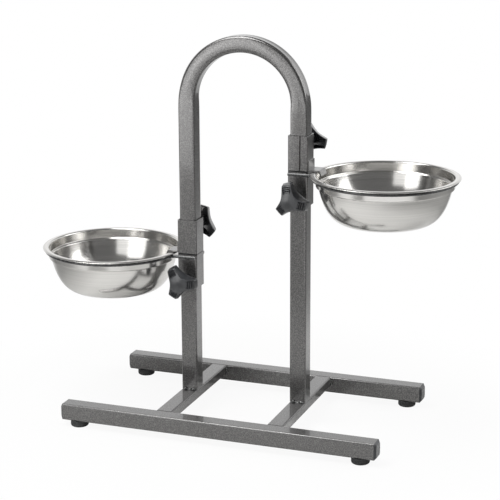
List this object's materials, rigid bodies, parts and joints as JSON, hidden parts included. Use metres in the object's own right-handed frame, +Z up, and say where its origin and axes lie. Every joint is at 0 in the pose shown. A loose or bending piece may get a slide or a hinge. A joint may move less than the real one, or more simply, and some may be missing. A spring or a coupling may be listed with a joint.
{
  "type": "dog feeder stand",
  "caption": "Free-standing bent square-tube dog feeder stand with stainless bowls in clamped rod holders that slide on its legs to set their height.",
  "frame": {"origin": "centre of the stand on the floor, between the rails and midway between the legs", "axes": "+Z up, +X along the rails towards the higher bowl, +Y to the back, where the lock sleeves' knobs are"},
  "size_m": [0.648, 0.277, 0.584],
  "materials": {
    "hammertone_paint": "grey hammertone paint with a fine speckle",
    "weld_bead": "weld bead under the same paint",
    "black_plastic": "matt moulded plastic",
    "black_rubber": "matt rubber",
    "knob_plastic": "satin moulded plastic",
    "zinc_steel": "bright zinc plating",
    "stainless": "polished stainless steel"
  },
  "bodies": {
    "frame": {"front_rail": "hammertone_paint", "back_rail": "hammertone_paint", "left_cross_tube": "hammertone_paint", "right_cross_tube": "hammertone_paint", "bow_tube": "hammertone_paint", "frame_welds": "weld_bead", "front_left_end_cap": "black_plastic", "front_right_end_cap": "black_plastic", "back_left_end_cap": "black_plastic", "back_right_end_cap": "black_plastic", "front_left_foot": "black_rubber", "front_right_foot": "black_rubber", "back_left_foot": "black_rubber", "back_right_foot": "black_rubber", "foot_screws": "zinc_steel"},
    "left_carrier": {"left_carrier_sleeve": "hammertone_paint", "left_bowl_ring": "hammertone_paint", "left_carrier_nut": "zinc_steel"},
    "left_lock": {"left_lock_sleeve": "hammertone_paint", "left_hook": "hammertone_paint", "left_lock_nut": "zinc_steel"},
    "left_bowl": {"left_bowl": "stainless"},
    "left_carrier_screw": {"left_carrier_stud": "zinc_steel"},
    "left_carrier_handle": {"left_carrier_knob": "knob_plastic"},
    "left_lock_screw": {"left_lock_stud": "zinc_steel"},
    "left_lock_handle": {"left_lock_knob": "knob_plastic"},
    "right_carrier": {"right_carrier_sleeve": "hammertone_paint", "right_bowl_ring": "hammertone_paint", "right_carrier_nut": "zinc_steel"},
    "right_lock": {"right_lock_sleeve": "hammertone_paint", "right_hook": "hammertone_paint", "right_lock_nut": "zinc_steel"},
    "right_bowl": {"right_bowl": "stainless"},
    "right_carrier_screw": {"right_carrier_stud": "zinc_steel"},
    "right_carrier_handle": {"right_carrier_knob": "knob_plastic"},
    "right_lock_screw": {"right_lock_stud": "zinc_steel"},
    "right_lock_handle": {"right_lock_knob": "knob_plastic"}
  },
  "joints": [
    {"name": "left_height", "type": "slide", "parent": "frame", "child": "left_carrier", "axis": [0, 0, 1], "range_m": [-0.15, 0.154]},
    {"name": "left_bowl_lift", "type": "slide", "parent": "left_carrier", "child": "left_bowl", "axis": [0, 0, 1], "range_m": [0, 0.024]},
    {"name": "left_lock_lift", "type": "slide", "parent": "left_carrier", "child": "left_lock", "axis": [0, 0, 1], "range_m": [0, 0.024]},
    {"name": "left_carrier_screw_travel", "type": "slide", "parent": "left_carrier", "child": "left_carrier_screw", "axis": [0, -1, 0], "range_m": [0, 0.00252]},
    {"name": "left_carrier_knob_turn", "type": "hinge", "parent": "left_carrier_screw", "child": "left_carrier_handle", "pos_m": [-0.0875, -0.03075, 0.214], "axis": [0, -1, 0], "range_deg": [0, 720]},
    {"name": "left_lock_screw_travel", "type": "slide", "parent": "left_lock", "child": "left_lock_screw", "axis": [0, 1, 0], "range_m": [0, 0.00252]},
    {"name": "left_lock_knob_turn", "type": "hinge", "parent": "left_lock_screw", "child": "left_lock_handle", "pos_m": [-0.0875, 0.03075, 0.2885], "axis": [0, 1, 0], "range_deg": [0, 720]},
    {"name": "right_height", "type": "slide", "parent": "frame", "child": "right_carrier", "axis": [0, 0, 1], "range_m": [-0.29, 0.014]},
    {"name": "right_bowl_lift", "type": "slide", "parent": "right_carrier", "child": "right_bowl", "axis": [0, 0, 1], "range_m": [0, 0.024]},
    {"name": "right_lock_lift", "type": "slide", "parent": "right_carrier", "child": "right_lock", "axis": [0, 0, 1], "range_m": [0, 0.024]},
    {"name": "right_carrier_screw_travel", "type": "slide", "parent": "right_carrier", "child": "right_carrier_screw", "axis": [0, -1, 0], "range_m": [0, 0.00252]},
    {"name": "right_carrier_knob_turn", "type": "hinge", "parent": "right_carrier_screw", "child": "right_carrier_handle", "pos_m": [0.0875, -0.03075, 0.354], "axis": [0, -1, 0], "range_deg": [0, 720]},
    {"name": "right_lock_screw_travel", "type": "slide", "parent": "right_lock", "child": "right_lock_screw", "axis": [0, 1, 0], "range_m": [0, 0.00252]},
    {"name": "right_lock_knob_turn", "type": "hinge", "parent": "right_lock_screw", "child": "right_lock_handle", "pos_m": [0.0875, 0.03075, 0.4285], "axis": [0, 1, 0], "range_deg": [0, 720]}
  ],
  "couplings": [
    {"joint": "left_lock_lift", "follows": "left_bowl_lift", "ratio": 1},
    {"joint": "left_carrier_screw_travel", "follows": "left_carrier_knob_turn", "m_per_rad": 0.00019894},
    {"joint": "left_lock_screw_travel", "follows": "left_lock_knob_turn", "m_per_rad": 0.00019894},
    {"joint": "right_lock_lift", "follows": "right_bowl_lift", "ratio": 1},
    {"joint": "right_carrier_screw_travel", "follows": "right_carrier_knob_turn", "m_per_rad": 0.00019894},
    {"joint": "right_lock_screw_travel", "follows": "right_lock_knob_turn", "m_per_rad": 0.00019894}
  ]
}
